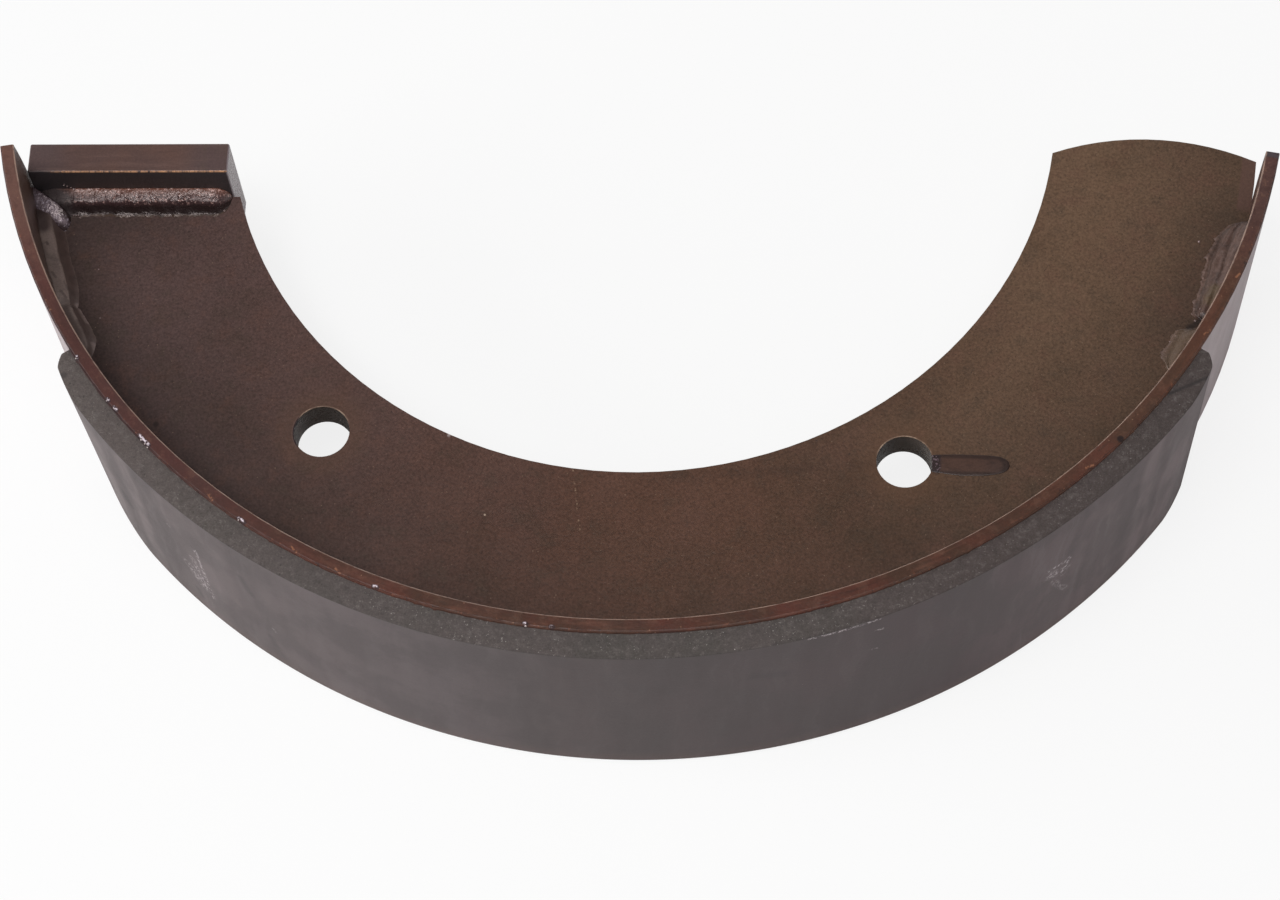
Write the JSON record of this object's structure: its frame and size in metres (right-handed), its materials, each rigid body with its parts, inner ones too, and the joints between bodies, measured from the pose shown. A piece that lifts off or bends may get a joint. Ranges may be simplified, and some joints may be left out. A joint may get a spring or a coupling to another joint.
{
  "type": "brake shoe",
  "caption": "Crescent drum brake shoe: steel web with spring holes, rolled rim, bonded friction lining and a welded square end plate.",
  "frame": {"origin": "middle of the lining's working face, level with the middle of the web, where the shoe meets the drum", "axes": "+Z along the drum axis, up as the shoe lies on the rim's edge; +Y towards the drum axis, which is at Y = 200 mm; +X towards the convex anchor end"},
  "size_m": [0.379, 0.186, 0.08],
  "materials": {
    "painted_web": "dark brown paint with fine orange peel, satin",
    "painted_rim": "red-brown paint, satin, worn bright along the edges",
    "painted_plate": "dark brown paint, satin, worn along the front edge",
    "weld_bead": "brown paint over rippled weld, semi-gloss",
    "lining": "moulded friction compound, rough grey with light specks, ground face"
  },
  "bodies": {
    "root": {"corner_weld_top": "weld_bead", "corner_weld_under": "weld_bead", "end_plate": "painted_plate", "end_plate_weld_top": "weld_bead", "end_plate_weld_under": "weld_bead", "friction_lining": "lining", "rim_strip": "painted_rim", "rim_weld_front_left_top": "weld_bead", "rim_weld_front_left_under": "weld_bead", "rim_weld_front_right_top": "weld_bead", "rim_weld_front_right_under": "weld_bead", "rim_weld_front_top": "weld_bead", "rim_weld_front_under": "weld_bead", "rim_weld_left_end_top": "weld_bead", "rim_weld_left_end_under": "weld_bead", "rim_weld_left_top": "weld_bead", "rim_weld_left_under": "weld_bead", "rim_weld_right_end_top": "weld_bead", "rim_weld_right_end_under": "weld_bead", "rim_weld_right_top": "weld_bead", "rim_weld_right_under": "weld_bead", "web_plate": "painted_web"}
  },
  "joints": []
}
